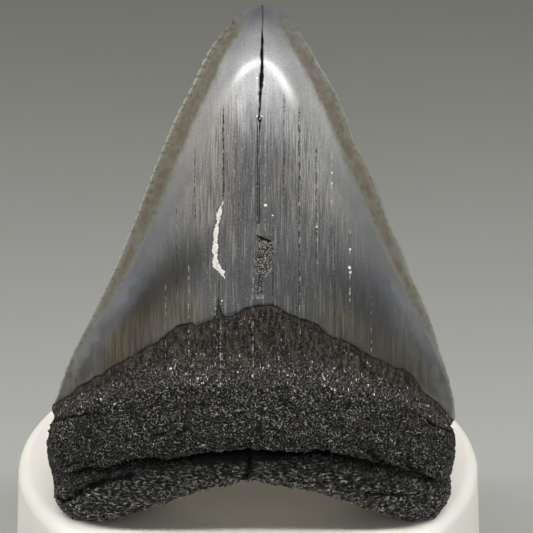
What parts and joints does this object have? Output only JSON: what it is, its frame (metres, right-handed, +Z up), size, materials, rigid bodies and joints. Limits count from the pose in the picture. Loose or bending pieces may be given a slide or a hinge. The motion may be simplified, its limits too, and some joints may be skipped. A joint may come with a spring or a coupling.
{
  "type": "megalodon tooth",
  "caption": "Fossil shark tooth with a serrated triangular crown and a rough arched root, standing point up on a plain round stand.",
  "frame": {"origin": "centre of the stand's underside", "axes": "+Z up, the tooth's bulging lingual face towards -Y, its left edge towards -X as seen from that side"},
  "size_m": [0.0394, 0.0394, 0.0557],
  "materials": {
    "fossil": "mineralised tooth: satin grey enamel above a dark glossy band and a near-black granular root",
    "stand": "plain white, fine satin"
  },
  "bodies": {
    "root": {"tooth": "fossil", "stand": "stand"}
  },
  "joints": []
}
